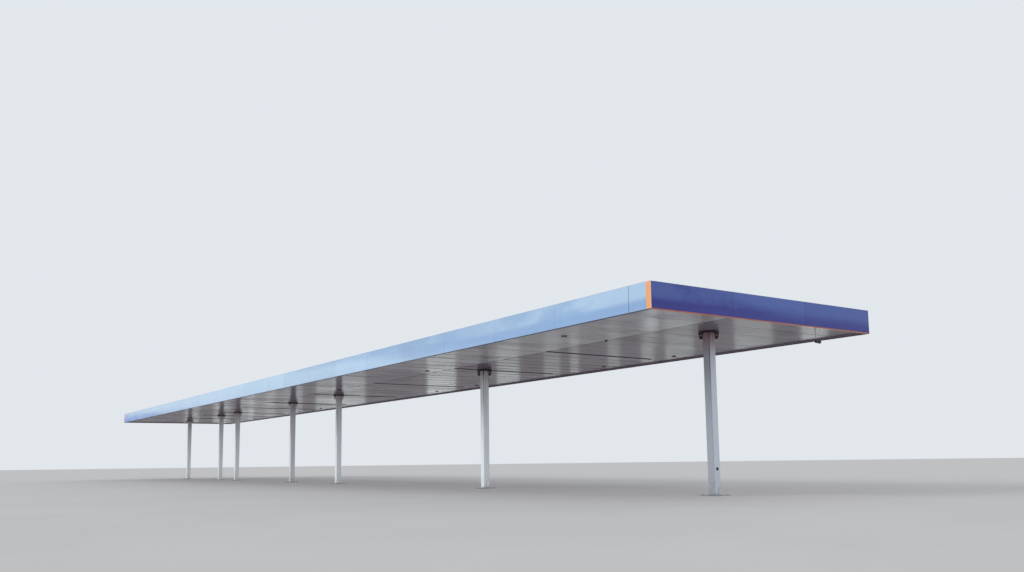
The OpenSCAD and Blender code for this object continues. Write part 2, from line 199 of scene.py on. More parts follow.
class Graph:
    """A material's node tree with one Principled shader, built by short calls."""

    def __init__(self, name: str) -> None:
        """Starts an empty material.

        Args:
            name: The material's name.
        """
        self.material = bpy.data.materials.new(name)
        self.material.use_nodes = True
        self.tree = self.material.node_tree
        self.tree.nodes.clear()
        self.shader = self.add("ShaderNodeBsdfPrincipled")
        self.add("ShaderNodeOutputMaterial", {"Surface": self.shader.outputs["BSDF"]})
        self.place = self.add("ShaderNodeTexCoord").outputs["Object"]
        self.axes = self.add("ShaderNodeSeparateXYZ", {0: self.place}).outputs

    def feed(self, socket: Socket, value: object) -> None:
        """Links a socket into another, or sets its value.

        Args:
            socket: The input socket.
            value: Another node's output, a colour or a plain value.
        """
        if isinstance(value, Socket):
            self.tree.links.new(value, socket)
        else:
            socket.default_value = (*value, 1.0) if socket.type == "RGBA" else value

    def add(self, kind: str, inputs: Optional[dict[int | str, object]] = None,
            **settings: object) -> bpy.types.Node:
        """Adds a node.

        Args:
            kind: The node's Blender type.
            inputs: What its inputs get, by their names or numbers.
            **settings: Attributes to set on it.

        Returns:
            The node.
        """
        node = self.tree.nodes.new(kind)
        for key, value in settings.items():
            setattr(node, key, value)
        for key, value in (inputs or {}).items():
            self.feed(node.inputs[key], value)
        return node

    def set(self, **values: object) -> None:
        """Sets or links the shader's inputs, with underscores for spaces in their names."""
        for key, value in values.items():
            self.feed(self.shader.inputs[key.replace("_", " ")], value)

    def math(self, operation: str, *values: object) -> Socket:
        """One Math node, such as MULTIPLY, with its inputs in order."""
        return self.add("ShaderNodeMath", dict(enumerate(values)), operation=operation).outputs[0]

    def times(self, first: object, *others: object) -> Socket:
        """The product of two or more values.

        Args:
            first: A value or socket.
            *others: What it is multiplied by, in order.

        Returns:
            The product's socket.
        """
        for other in others:
            first = self.math("MULTIPLY", first, other)
        return first

    def axis(self, which: Axis) -> Socket:
        """One of the surface's own coordinates."""
        return self.axes[which.value]

    def noise(self, scale: Triple, detail: float = 3.0, rough: float = 0.5) -> Socket:
        """Fractal noise in 0 to 1.

        Args:
            scale: Features per metre along X, Y and Z.
            detail: The octaves.
            rough: The share that each octave keeps.

        Returns:
            The value's socket.
        """
        stretch = self.add("ShaderNodeMapping", {"Vector": self.place, "Scale": scale})
        node = self.add("ShaderNodeTexNoise", {
            "Vector": stretch.outputs["Vector"], "Scale": 1.0, "Detail": detail,
            "Roughness": rough})
        return node.outputs["Fac"]

    def chance(self, number: Socket) -> Socket:
        """A random value from 0 to 1 for each whole number."""
        whole = {"W": self.math("FLOOR", number)}
        return self.add("ShaderNodeTexWhiteNoise", whole, noise_dimensions="1D").outputs["Value"]

    def cells(self, which: Axis, pitch: float, start: float = 0.0) -> Socket:
        """A random value from 0 to 1 for each panel of one pitch along an axis."""
        from_start = self.math("SUBTRACT", self.axis(which), start)
        return self.chance(self.math("DIVIDE", from_start, pitch))

    def runs(self, which: Axis, parts: Sequence[Run]) -> Socket:
        """Counts sheets along an axis on which they stand in runs of different pitch.

        Args:
            which: The axis that the sheets follow.
            parts: The runs, from low to high.

        Returns:
            The socket of the sheet's number, whose fraction is the place across that sheet.
        """
        total: object = 0.0
        for part in parts:
            sheets = self.span(self.axis(which), part.low, part.high, 0.0, float(part.count),
                               Ease.STRAIGHT)
            total = self.math("ADD", total, sheets)
        return total

    def span(self, value: object, low: float, high: float, out_low: float = 0.0,
             out_high: float = 1.0, ease: Ease = Ease.SMOOTH) -> Socket:
        """Maps a value from one range to another, clamped.

        Args:
            value: The value or socket.
            low: The input that gives out_low.
            high: The input that gives out_high.
            out_low: The first result.
            out_high: The last result.
            ease: How it passes from one to the other.

        Returns:
            The result's socket.
        """
        node = self.add("ShaderNodeMapRange", {
            "Value": value, "From Min": low, "From Max": high, "To Min": out_low,
            "To Max": out_high}, interpolation_type=ease.value)
        return node.outputs["Result"]

    def along(self, which: Axis, low: float, high: float, out_low: float = 0.0,
              out_high: float = 1.0) -> Socket:
        """A value that changes along an axis, in the way of span."""
        return self.span(self.axis(which), low, high, out_low, out_high)

    def blend(self, factor: object, first: object, second: object) -> Socket:
        """Mixes two colours or sockets, the second as far as the factor says."""
        node = self.add("ShaderNodeMix", {0: factor, 6: first, 7: second}, data_type="RGBA")
        return node.outputs[2]

    def over(self, colour: object, tint: object, pattern: object, low: float, high: float,
             share: float = 1.0) -> Socket:
        """Lays a tint over a colour, up to a share, as a pattern passes from low to high."""
        return self.blend(self.span(pattern, low, high, 0.0, share), colour, tint)

    def relief(self, height: Socket, distance: float, strength: float = 1.0,
               under: Optional[Socket] = None) -> Socket:
        """A bump from a height.

        Args:
            height: The height's socket, from 0 to 1.
            distance: The height of 1, in metres.
            strength: The bump's strength.
            under: Another normal below this one.

        Returns:
            The normal's socket.
        """
        node = self.add("ShaderNodeBump", {"Distance": distance, "Strength": strength,
                                           "Height": height})
        if under is not None:
            self.feed(node.inputs["Normal"], under)
        return node.outputs["Normal"]


@dataclass(frozen=True)
class Finish(ABC):
    """What a surface is made of or coated with.

    Attributes:
        tone: Its main colour.
    """

    tone: Colour

    @abstractmethod
    def wire(self, graph: Graph) -> None:
        """Builds the pattern and feeds the shader.

        Args:
            graph: The material's node tree.
        """

    def make(self, name: str) -> Material:
        """Builds the material.

        Args:
            name: Its name.

        Returns:
            The material.
        """
        graph = Graph(name)
        self.wire(graph)
        return graph.material


@dataclass(frozen=True)
class GlossPanel(Finish):
    """Glossy coil-coated sheet of the fascia, with a tone of its own on each panel and a painted
    sky reflection.

    Attributes:
        faded_and_sheen: Its colour where the painted sky reflection is brightest.
        deep: Its colour along the foot, where the painted sky reflection fades out.
        run: The axis that the panels follow.
        pitch: The width of a panel.
        start: Where a panel begins.
        fade: The place along the run where the painted reflection starts, and where it is full.
        foot: The height of the panel's foot.
        top: The height of its top.
        shine: The level of its clear reflection.
        wash: How much of the foot's depth is left where the painted reflection is full.
        lean: The height, from 0 to 1, at which the painted reflection keeps its place, and how far
            it
        leans back per panel height.
        drift: How far clouds move the painted reflection, in lengths of its change.
        wispy: Where along the roof its painted wisps start to weaken, and where they are weakest.
        patchy: Where its painted patches near the first column start, and where they are strongest.
        deep_reach: Where the foot's depth starts to weaken, and where it is weakest.
    """

    faded_and_sheen: Colour
    deep: Colour
    run: Axis
    pitch: float
    start: float
    fade: Pair
    foot: float
    top: float
    shine: float
    wash: float
    lean: Pair
    drift: float = 1.6
    wispy: Pair = (11.0, 15.0)
    patchy: Pair = (11.0, 17.0)
    deep_reach: Pair = (-13.0, 2.0)

    def painted_sheen(self, graph: Graph, height: Socket, clouds: Socket, rain: Socket) -> Socket:
        """Works out how strong the painted sky reflection is.

        Args:
            graph: The material's node tree.
            height: The height on the panel, from 0 to 1.
            clouds: Broad soft patches, the clouds of the painted reflection.
            rain: The patches that rain has left.

        Returns:
            The socket of the painted reflection, from 0 to 1.
        """
        slant = graph.times(graph.math("SUBTRACT", height, self.lean[0]), self.lean[1])
        place = graph.math("ADD", graph.axis(self.run), slant)
        if self.run is Axis.X:
            place = graph.math("ABSOLUTE", place)
        swing = self.drift * abs(self.fade[1] - self.fade[0])
        moved = graph.times(graph.math("SUBTRACT", clouds, 0.5), swing)
        broad = graph.span(graph.math("ADD", place, moved), *self.fade)
        wisps = graph.noise((0.55, 0.55, 2.6), 5.0, 0.6)
        thin = graph.times(graph.span(wisps, 0.46, 0.66, 0.0, 0.60),
                           graph.along(Axis.X, *self.wispy, 1.0, 0.25))
        near = graph.times(graph.along(Axis.X, *self.patchy, 0.0, 0.8),
                           graph.span(height, 0.15, 0.50),
                           graph.span(rain, 0.40, 0.58, 0.15, 1.0))
        return graph.math("MAXIMUM", graph.math("MAXIMUM", broad, thin), near)

    def wire(self, graph: Graph) -> None:
        """Builds the pattern and feeds the shader.

        Args:
            graph: The material's node tree.
        """
        height = graph.along(Axis.Z, self.foot, self.top)
        clouds = graph.noise((0.28, 0.28, 2.0), 4.0, 0.55)
        rain = graph.noise((0.9, 0.9, 1.6), 4.0, 0.55)
        # Painted sky reflection: broad cloud patches and wisps make the coating paler.
        sheen = self.painted_sheen(graph, height, clouds, rain)
        colour = graph.blend(sheen, self.tone, self.faded_and_sheen)
        # Along the foot the painted reflection gives way to the deeper colour.
        low = graph.times(graph.span(height, 0.0, 0.85, 0.85, 0.0),
                          graph.span(clouds, 0.35, 0.62, 1.0, 0.55),
                          graph.span(sheen, 0.0, 1.0, 1.0, self.wash),
                          graph.along(Axis.X, *self.deep_reach, 1.0, 0.35))
        colour = graph.blend(low, colour, self.deep)
        sheet = graph.cells(self.run, self.pitch, self.start)
        colour = graph.over(colour, dimmed(self.tone, 0.72), sheet, 0.0, 1.0, 0.16)
        colour = graph.over(colour, rgb(120, 122, 128), rain, 0.50, 0.80, 0.10)
        peel = graph.noise(even(70.0), 2.0)
        sag = graph.noise((0.7, 0.7, 1.6), 1.0)
        graph.set(Base_Color=colour, Specular_IOR_Level=self.shine,
                  Normal=graph.relief(peel, 0.0002, 0.25, graph.relief(sag, 0.004, 0.30)),
                  Roughness=graph.span(rain, 0.3, 0.8, 0.20, 0.34))


@dataclass(frozen=True)
class StripPaint(Finish):
    """Bright gloss paint of the corner strips and the strips at the foot of the ends.

    Attributes:
        faded_and_sheen: Its colour where the weather has faded it.
    """

    faded_and_sheen: Colour

    def wire(self, graph: Graph) -> None:
        """Builds the pattern and feeds the shader.

        Args:
            graph: The material's node tree.
        """
        wear = graph.noise((5.0, 5.0, 3.0), 4.0, 0.6)
        grime = graph.noise((22.0, 22.0, 6.0), 3.0, 0.6)
        colour = graph.over(self.tone, self.faded_and_sheen, wear, 0.45, 0.75)
        colour = graph.over(colour, rgb(110, 82, 66), grime, 0.60, 0.85, 0.25)
        graph.set(Base_Color=colour, Coat_Weight=0.2, Coat_Roughness=0.12,
                  Roughness=graph.span(grime, 0.3, 0.8, 0.24, 0.42),
                  Normal=graph.relief(graph.noise(even(90.0), 2.0), 0.0003, 0.4))


@dataclass(frozen=True)
class SoffitSheet(Finish):
    """Semi-gloss grey coating of the soffit trays, slightly buckled, and darker along the seams
    from grime and painted shade.

    Attributes:
        stain: The colour of its old water marks.
        trays: The runs of trays along the roof.
        grime: How dark the seams are, from dirt and painted shade of the gaps between trays.
        near_end_tone: The paler colour towards the near end.
        reach: Where the paler colour starts, and where it is full.
        share: How far the colour goes towards it there, from 0 to 1.
        rough: The sheet's roughness.
        shine: The level of its clear reflection.
        seam_fade: Where along the roof the seams start to get cleaner, and where they are cleanest.
        plain: Where the seams are faint, and where they show in full.
        dull: Where the sheet is dullest, and where it has its own roughness.
    """

    stain: Colour
    trays: tuple[Run, ...]
    grime: float
    near_end_tone: Colour
    reach: Pair
    share: float
    rough: float = 0.13
    shine: float = 0.010
    # seam_fade: Where along the roof the dark seams start to fade, and where they are faintest.
    seam_fade: Pair = (11.0, 14.5)
    plain: Pair = (-2.0, 8.0)
    dull: Pair = (-18.0, 12.0)

    def seams(self, graph: Graph, place: Socket, marks: Socket) -> Socket:
        """Works out how dark the sheet is along its seams, from dirt and painted shade.

        Args:
            graph: The material's node tree.
            place: The tray's number and the place across it.
            marks: The pattern of the water marks.

        Returns:
            The socket of the darkening, from 0 to 1.
        """
        off_middle = graph.math("ABSOLUTE", graph.math("SUBTRACT", graph.math("FRACT", place), 0.5))
        from_seam = graph.math("SUBTRACT", 0.5, off_middle)
        return graph.times(graph.span(from_seam, 0.020, 0.095, self.grime, 0.0),
                           graph.span(marks, 0.30, 0.60, 0.65, 1.0),
                           graph.along(Axis.X, *self.seam_fade, 1.0, 0.15),
                           graph.along(Axis.X, *self.plain, 0.25, 0.9))

    def wire(self, graph: Graph) -> None:
        """Builds the pattern and feeds the shader.

        Args:
            graph: The material's node tree.
        """
        place = graph.runs(Axis.X, self.trays)
        marks = graph.noise((1.3, 0.45, 1.0), 5.0, 0.6)
        seam = self.seams(graph, place, marks)
        dust = graph.noise((14.0, 9.0, 9.0), 4.0, 0.65)
        colour = graph.over(self.tone, dimmed(self.tone, 0.60), graph.chance(place), 0.0, 1.0, 0.25)
        # The soffit turns paler towards the near end.
        colour = graph.blend(graph.along(Axis.X, *self.reach, 0.0, self.share), colour, self.near_end_tone)
        colour = graph.over(colour, self.stain, marks, 0.46, 0.74, 0.5)
        # Dark band along each seam: dirt, and painted shade of the gap between trays.
        colour = graph.blend(seam, colour, dimmed(self.stain, 0.25))
        colour = graph.over(colour, rgb(116, 112, 112), dust, 0.55, 0.85, 0.22)
        buckle = graph.noise((2.4, 0.8, 1.0), 1.5, 0.4)
        fine = graph.noise((60.0, 18.0, 60.0), 2.0)
        dull = graph.along(Axis.X, *self.dull, 0.06, 0.0)
        rough = graph.math("ADD", graph.span(marks, 0.3, 0.75, self.rough, self.rough + 0.08), dull)
        graph.set(Base_Color=colour, Specular_IOR_Level=self.shine,
                  Normal=graph.relief(fine, 0.0003, 0.2, graph.relief(buckle, 0.004, 0.10)),
                  Roughness=graph.math("ADD", rough, graph.times(seam, 0.45)))


@dataclass(frozen=True)
class ColumnPaint(Finish):
    """Satin column paint with painted shade in its corner grooves, under its head and on its road
    side, and splashes.

    Attributes:
        shadow: The colour of the painted shade in its grooves, strongest under the head.
        head_shade_strength: How strong the painted brown shade under the head is.
        road_side_shade: How dark the painted shade on the side towards the road is.
        middle: The column's place along the roof.
        groove_from: Distance from the column's middle past which a groove begins.
        top: The height of the column's head.
        head_shade_band: How far the painted shade under the head reaches down.
        splash: How high the splashes reach.
    """

    shadow: Colour
    head_shade_strength: float
    road_side_shade: float
    middle: float = 0.0
    groove_from: float = 0.0
    top: float = 0.0
    head_shade_band: float = 0.45
    splash: float = 0.45

    def wire(self, graph: Graph) -> None:
        """Builds the pattern and feeds the shader.

        Args:
            graph: The material's node tree.
        """
        streaks = graph.noise((26.0, 26.0, 0.9), 4.0, 0.6)
        drops = graph.noise((18.0, 18.0, 12.0), 4.0, 0.65)
        below = graph.math("SUBTRACT", self.top, graph.axis(Axis.Z))
        # The face towards the road gets painted shade.
        front = graph.math("LESS_THAN", graph.axis(Axis.Y), -self.groove_from)
        # Painted brown shade under the head, fading downwards and broken by the streaks.
        head_shade_band = graph.times(graph.span(below, 0.0, self.head_shade_band, self.head_shade_strength, 0.0),
                           graph.span(streaks, 0.25, 0.65, 0.45, 1.0))
        foot = graph.times(graph.along(Axis.Z, 0.0, self.splash, 1.0, 0.0),
                           graph.span(drops, 0.40, 0.70, 0.0, 0.55))
        # Painted shade in the corner grooves, darkest under the head.
        off_middle = graph.math("SUBTRACT", graph.axis(Axis.X), self.middle)
        inner = graph.math("MINIMUM", graph.math("ABSOLUTE", off_middle),
                           graph.math("ABSOLUTE", graph.axis(Axis.Y)))
        groove = graph.math("GREATER_THAN", inner, self.groove_from)
        colour = graph.over(self.tone, rgb(182, 184, 190), streaks, 0.45, 0.75, 0.30)
        for share, tint in ((graph.times(front, self.road_side_shade), rgb(96, 90, 96)),
                            (head_shade_band, rgb(142, 102, 92)), (foot, rgb(120, 108, 94)),
                            (groove, graph.over(self.shadow, self.tone, below, 0.25, 1.5, 0.65))):
            colour = graph.blend(share, colour, tint)
        graph.set(Base_Color=colour, Roughness=graph.span(streaks, 0.3, 0.8, 0.36, 0.52),
                  Normal=graph.relief(graph.noise(even(160.0), 2.0), 0.0003, 0.3),
                  Specular_IOR_Level=0.45)


@dataclass(frozen=True)
class Fade:
    """A change of colour along one axis.

    Attributes:
        axis: The axis.
        start: Where the change starts.
        end: Where it is complete.
        tone: The colour past its end.
    """

    axis: Axis
    start: float
    end: float
    tone: Colour


@dataclass(frozen=True)
class DarkPaint(Finish):
    """Dark satin paint of heads, channels, trims and fittings, worn and dusty.

    Attributes:
        dust: The colour of what has settled on it.
        rough: Its roughness.
        fade: Where it turns to another colour, if it does.
    """

    dust: Colour
    rough: float
    fade: Optional[Fade] = None

    def wire(self, graph: Graph) -> None:
        """Builds the pattern and feeds the shader.

        Args:
            graph: The material's node tree.
        """
        patches = graph.noise(even(8.0), 5.0, 0.6)
        colour: object = self.tone
        if self.fade:
            colour = graph.over(colour, self.fade.tone, graph.axis(self.fade.axis),
                                self.fade.start, self.fade.end)
        graph.set(Base_Color=graph.over(colour, self.dust, patches, 0.48, 0.78, 0.55),
                  Roughness=graph.span(patches, 0.3, 0.8, self.rough, self.rough + 0.2),
                  Normal=graph.relief(graph.noise(even(120.0), 2.0), 0.0004, 0.4))


@dataclass(frozen=True)
class Galvanising(Finish):
    """Hot-dip zinc with its crystal spangle."""

    def wire(self, graph: Graph) -> None:
        """Builds the pattern and feeds the shader.

        Args:
            graph: The material's node tree.
        """
        crystals = graph.add("ShaderNodeTexVoronoi", {"Vector": graph.place, "Scale": 70.0},
                             feature="F1")
        spangle = graph.add("ShaderNodeSeparateColor", {0: crystals.outputs["Color"]}).outputs
        bloom = graph.noise(even(3.0), 5.0, 0.6)
        colour = graph.over(self.tone, dimmed(self.tone, 1.35), spangle[0], 0.0, 1.0, 0.35)
        colour = graph.over(colour, rgb(176, 176, 170), bloom, 0.50, 0.80, 0.5)
        graph.set(Base_Color=colour, Metallic=0.75, Normal=graph.relief(bloom, 0.001, 0.3),
                  Roughness=graph.span(spangle[1], 0.0, 1.0, 0.38, 0.55))


@dataclass(frozen=True)
class RoofSheet(Finish):
    """Mill-finish standing-seam sheet, dulled by weather and streaked down the slope.

    Attributes:
        pitch: The distance between seams.
    """

    pitch: float

    def wire(self, graph: Graph) -> None:
        """Builds the pattern and feeds the shader.

        Args:
            graph: The material's node tree.
        """
        sheet = graph.cells(Axis.X, self.pitch)
        wash = graph.noise((6.0, 0.5, 1.0), 5.0, 0.6)
        dirt = graph.noise(even(2.2), 6.0, 0.65)
        ripple = graph.noise((3.0, 0.7, 1.0), 1.0)
        colour = graph.over(self.tone, dimmed(self.tone, 0.72), sheet, 0.0, 1.0, 0.22)
        colour = graph.over(colour, rgb(138, 134, 124), wash, 0.45, 0.75, 0.5)
        colour = graph.over(colour, rgb(98, 96, 88), dirt, 0.58, 0.82, 0.5)
        graph.set(Base_Color=colour, Metallic=0.6, Normal=graph.relief(ripple, 0.004, 0.4),
                  Roughness=graph.span(wash, 0.3, 0.8, 0.38, 0.58))


@dataclass(frozen=True)
class Lens(Finish):
    """Smoked prismatic lamp lens.

    Attributes:
        rough: Its roughness.
    """

    rough: float

    def wire(self, graph: Graph) -> None:
        """Builds the pattern and feeds the shader.

        Args:
            graph: The material's node tree.
        """
        prisms = graph.add("ShaderNodeTexVoronoi", {"Vector": graph.place, "Scale": 130.0},
                           feature="DISTANCE_TO_EDGE").outputs["Distance"]
        colour = graph.blend(graph.span(prisms, 0.0, 0.25, 0.35, 0.0), self.tone,
                             dimmed(self.tone, 0.5))
        graph.set(Base_Color=colour, Coat_Weight=0.5, Normal=graph.relief(prisms, 0.002, 0.5),
                  Roughness=graph.span(prisms, 0.0, 0.3, self.rough + 0.15, self.rough))


class Stock:
    """Meshes in the making: bmesh operators that add small shapes to one piece."""

    def __init__(self) -> None:
        """Starts an empty piece."""
        self.mesh = bmesh.new()

    def turned(self, profile: Profile, sides: int, place: Matrix, radius: float = 1.0,
               height: float = 1.0) -> None:
        """A round body, spun from its profile.

        Args:
            profile: Radius and height of each ring, from the first end to the last.
            sides: Sides of the round.
            place: Places the body, whose axis is Z.
            radius: What the profile's radii are multiplied by.
            height: What its heights are multiplied by.
        """
        made = bmesh.new()
        points = [made.verts.new((wide * radius, 0.0, tall * height)) for wide, tall in profile]
        edges = [made.edges.new(pair) for pair in zip(points, points[1:])]
        bmesh.ops.spin(made, geom=points + edges, axis=(0, 0, 1), cent=(0, 0, 0),
                       angle=math.tau, steps=sides, use_merge=True)
        bmesh.ops.remove_doubles(made, verts=made.verts, dist=1e-6)
        rims = [edge for edge in made.edges if edge.is_boundary]
        if rims:
            bmesh.ops.holes_fill(made, edges=rims, sides=0)
        bmesh.ops.recalc_face_normals(made, faces=made.faces)
        self.take(made, [place])

    def hexagon(self, across: float, height: float, place: Matrix) -> None:
        """A hexagon nut or bolt head with a chamfered top, standing on z = 0.

        Args:
            across: The width across its flats.
            height: Its height.
            place: Places it.
        """
        made = bmesh.new()
        radius = across / math.sqrt(3.0)
        chamfer = height * 0.18
        bmesh.ops.create_cone(made, cap_ends=True, segments=6, radius1=radius, radius2=radius,
                              depth=height)
        bmesh.ops.translate(made, vec=(0, 0, height / 2), verts=made.verts)
        top = [edge for edge in made.edges if all(v.co.z > height * 0.9 for v in edge.verts)]
        bmesh.ops.bevel(made, geom=top, offset=chamfer, segments=1, profile=0.5,
                        affect="EDGES", material=-1)
        self.take(made, [place])

    def take(self, made: bmesh.types.BMesh, places: Iterable[Matrix]) -> None:
        """Copies a finished small mesh to each place, and frees it.

        Args:
            made: The small mesh.
            places: Where its copies go.
        """
        sheet = as_mesh(made, "stock")
        for place in places:
            before = len(self.mesh.verts)
            self.mesh.from_mesh(sheet)
            self.mesh.verts.ensure_lookup_table()
            bmesh.ops.transform(self.mesh, matrix=place, verts=self.mesh.verts[before:])
        bpy.data.meshes.remove(sheet)

    def finish(self, name: str, material: Material, slot: Slot, replaces: Sequence[str] = (),
               smooth: float = 0.0) -> bpy.types.Object:
        """Turns the piece into an object that rides on the canopy.

        Args:
            name: The piece's name.
            material: Its finish.
            slot: The record's slot that the finish stands for. Not used.
            replaces: Nodes that it stands for.
            smooth: Angle in degrees below which its edges are smooth, or 0 for flat faces.

        Returns:
            The object.
        """
        data = as_mesh(self.mesh, name)
        piece = stand(name, data)
        data.materials.append(material)
        if smooth > 0:
            data.polygons.foreach_set("use_smooth", [True] * len(data.polygons))
            data.set_sharp_from_angle(angle=math.radians(smooth))
        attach(piece, "root")
        if replaces:
            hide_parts(*replaces)
        LOG.info("%s: %d faces", name, len(data.polygons))
        return piece


def solids(node: str) -> list[Box]:
    """The box of each separate solid of a node.

    Args:
        node: The node's name.

    Returns:
        The lowest and the highest corner of each.
    """
    made = bmesh.new()
    made.from_mesh(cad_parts[node].data)
    bmesh.ops.remove_doubles(made, verts=made.verts, dist=1e-5)
    left = set(made.verts)
    boxes = []
    while left:
        group = {left.pop()}
        border = list(group)
        while border:
            for edge in border.pop().link_edges:
                for other in edge.verts:
                    if other not in group:
                        group.add(other)
                        border.append(other)
        left -= group
        boxes.append(tuple(Vector([pick(v.co[i] for v in group) for i in range(3)])
                           for pick in (min, max)))
    made.free()
    return sorted(boxes, key=lambda pair: tuple(pair[0]))


def tray_runs(node: str) -> tuple[Run, ...]:
    """The runs of equal trays in a node of the soffit.

    Args:
        node: The node's name.

    Returns:
        The runs, from low to high.
    """
    same_width = 1e-4
    runs: list[Run] = []
    boxes = solids(node)
    gap = min(after[0].x - before[1].x for before, after in zip(boxes, boxes[1:]))
    for low, high in boxes:
        start, end = low.x - gap / 2, high.x + gap / 2
        last = runs[-1] if runs else None
        if last and abs((last.high - last.low) / last.count - (end - start)) < same_width:
            runs[-1] = Run(last.low, end, last.count + 1)
        else:
            runs.append(Run(start, end, 1))
    return tuple(runs)


def dress(material: Material, *nodes: str) -> None:
    """Gives CAD nodes a finish.

    Args:
        material: The finish.
        *nodes: The nodes' names.
    """
    for name in nodes:
        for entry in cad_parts[name].material_slots:
            entry.material = material
        LOG.info("%s wears %s", name, material.name)


@dataclass
class Finishes:
    """Every finish that pieces share, made once.

    Attributes:
        foot: The height of the fascia's foot.
        top: The height of its top.
        panel: The width of a panel on the long sides.
        end_panel: The width of a panel on the ends.
        end_start: Where the first panel of an end begins.
        seam_pitch: The distance between seams of the roof sheets.
        made: The materials.
    """

    foot: float
    top: float
    panel: float = 1.8034
    end_panel: float = 1.6867
    end_start: float = -2.53
    seam_pitch: float = 0.3
    made: dict[Surface, Material] = field(default_factory=dict)

    def fascia(self) -> dict[Surface, Finish]:
        """Plans the finishes of the fascia.

        Returns:
            The plan of each surface.
        """
        return {
            # The lighter and deeper tones of both coatings are the painted sky reflection's.
            Surface.SKY: GlossPanel(
                tone=rgb(146, 177, 212), faded_and_sheen=rgb(180, 207, 230), deep=rgb(92, 132, 204),
                run=Axis.X, pitch=self.panel, start=0.0, fade=(14.5, 8.5), foot=self.foot,
                top=self.top, shine=0.4, wash=0.35, lean=(0.25, 7.0)),
            Surface.INDIGO: GlossPanel(
                tone=rgb(54, 58, 134), faded_and_sheen=rgb(80, 101, 167), deep=rgb(50, 52, 134),
                run=Axis.Y, pitch=self.end_panel, start=self.end_start, fade=(-1.4, 3.2),
                foot=self.foot, top=self.top, shine=0.3, wash=0.9, lean=(0.35, 5.0)),
            Surface.ORANGE: StripPaint(rgb(238, 158, 96), rgb(244, 172, 108)),
            # Pale cream corner beads: a painted highlight of the lit corner edge.
            Surface.HIGHLIGHT_BEAD: StripPaint(rgb(232, 192, 164), rgb(234, 204, 182)),
            # End foot strips: the orange paint darkened as painted shade.
            Surface.SHADED_ORANGE: StripPaint(rgb(160, 90, 66), rgb(138, 76, 66)),
            # Long foot trims: dark paint, partly painted shade of the fascia's inner foot.
            Surface.TRIM: DarkPaint(rgb(44, 44, 58), rgb(70, 68, 80), 0.40)}

    def soffit(self) -> dict[Surface, Finish]:
        """Plans the finishes of the soffit, whose edge trim is dark only along its foot.

        Returns:
            The plan of each surface.
        """
        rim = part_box("soffit_edge_trim")[0].z
        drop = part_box("soffit_field")[0].z - rim
        # The edge trim's dark foot is partly painted shade; above it the trim is painted pale,
        # painted light that makes it read like the lit soffit.
        pale = Fade(Axis.Z, rim + 0.35 * drop, rim + 0.45 * drop, rgb(150, 134, 150))
        return {
            Surface.FIELD: SoffitSheet(
                tone=rgb(105, 89, 104), stain=rgb(79, 60, 78), trays=tray_runs("soffit_field"),
                grime=0.6, near_end_tone=rgb(132, 128, 133), reach=(11.0, 17.0), share=0.6),
            Surface.BAND: SoffitSheet(
                tone=rgb(111, 96, 111), stain=rgb(87, 69, 86), grime=0.4,
                trays=tray_runs("soffit_front_band"), near_end_tone=rgb(184, 184, 187),
                reach=(4.0, 14.0), share=0.75),
            # Edge trim: dark foot partly painted shade, pale upper part painted light.
            Surface.EDGE: DarkPaint(rgb(44, 28, 46), rgb(64, 48, 64), 0.5, pale),
            Surface.JOINT: DarkPaint(rgb(24, 14, 20), rgb(42, 30, 38), 0.6),
            Surface.CHANNEL: DarkPaint(rgb(98, 76, 92), rgb(112, 96, 108), 0.5),
            Surface.ROD: DarkPaint(rgb(146, 138, 144), rgb(160, 152, 156), 0.45),
            Surface.FITTING: DarkPaint(rgb(38, 34, 38), rgb(70, 66, 68), 0.36),
            Surface.LENS: Lens(rgb(96, 96, 100), 0.12)}

    def steelwork(self) -> dict[Surface, Finish]:
        """Plans the finishes of the steel and the roof, whose far gussets are paler.

        Returns:
            The plan of each surface.
        """
        pale = Fade(Axis.X, 8.0, 3.0, rgb(214, 210, 214))
        return {
            Surface.HEAD: DarkPaint(rgb(54, 28, 40), rgb(80, 58, 70), 0.42),
            Surface.GUSSET: DarkPaint(rgb(56, 30, 42), rgb(90, 70, 82), 0.42, pale),
            Surface.ZINC: Galvanising(rgb(150, 152, 154)),
            Surface.ROOF: RoofSheet(rgb(172, 174, 174), self.seam_pitch)}

    def build(self) -> None:
        """Makes the finishes."""
        for surface, plan in {**self.fascia(), **self.soffit(), **self.steelwork()}.items():
            self.made[surface] = plan.make(surface.value)

    def __getitem__(self, surface: Surface) -> Material:
        """The material of one surface."""
        return self.made[surface]


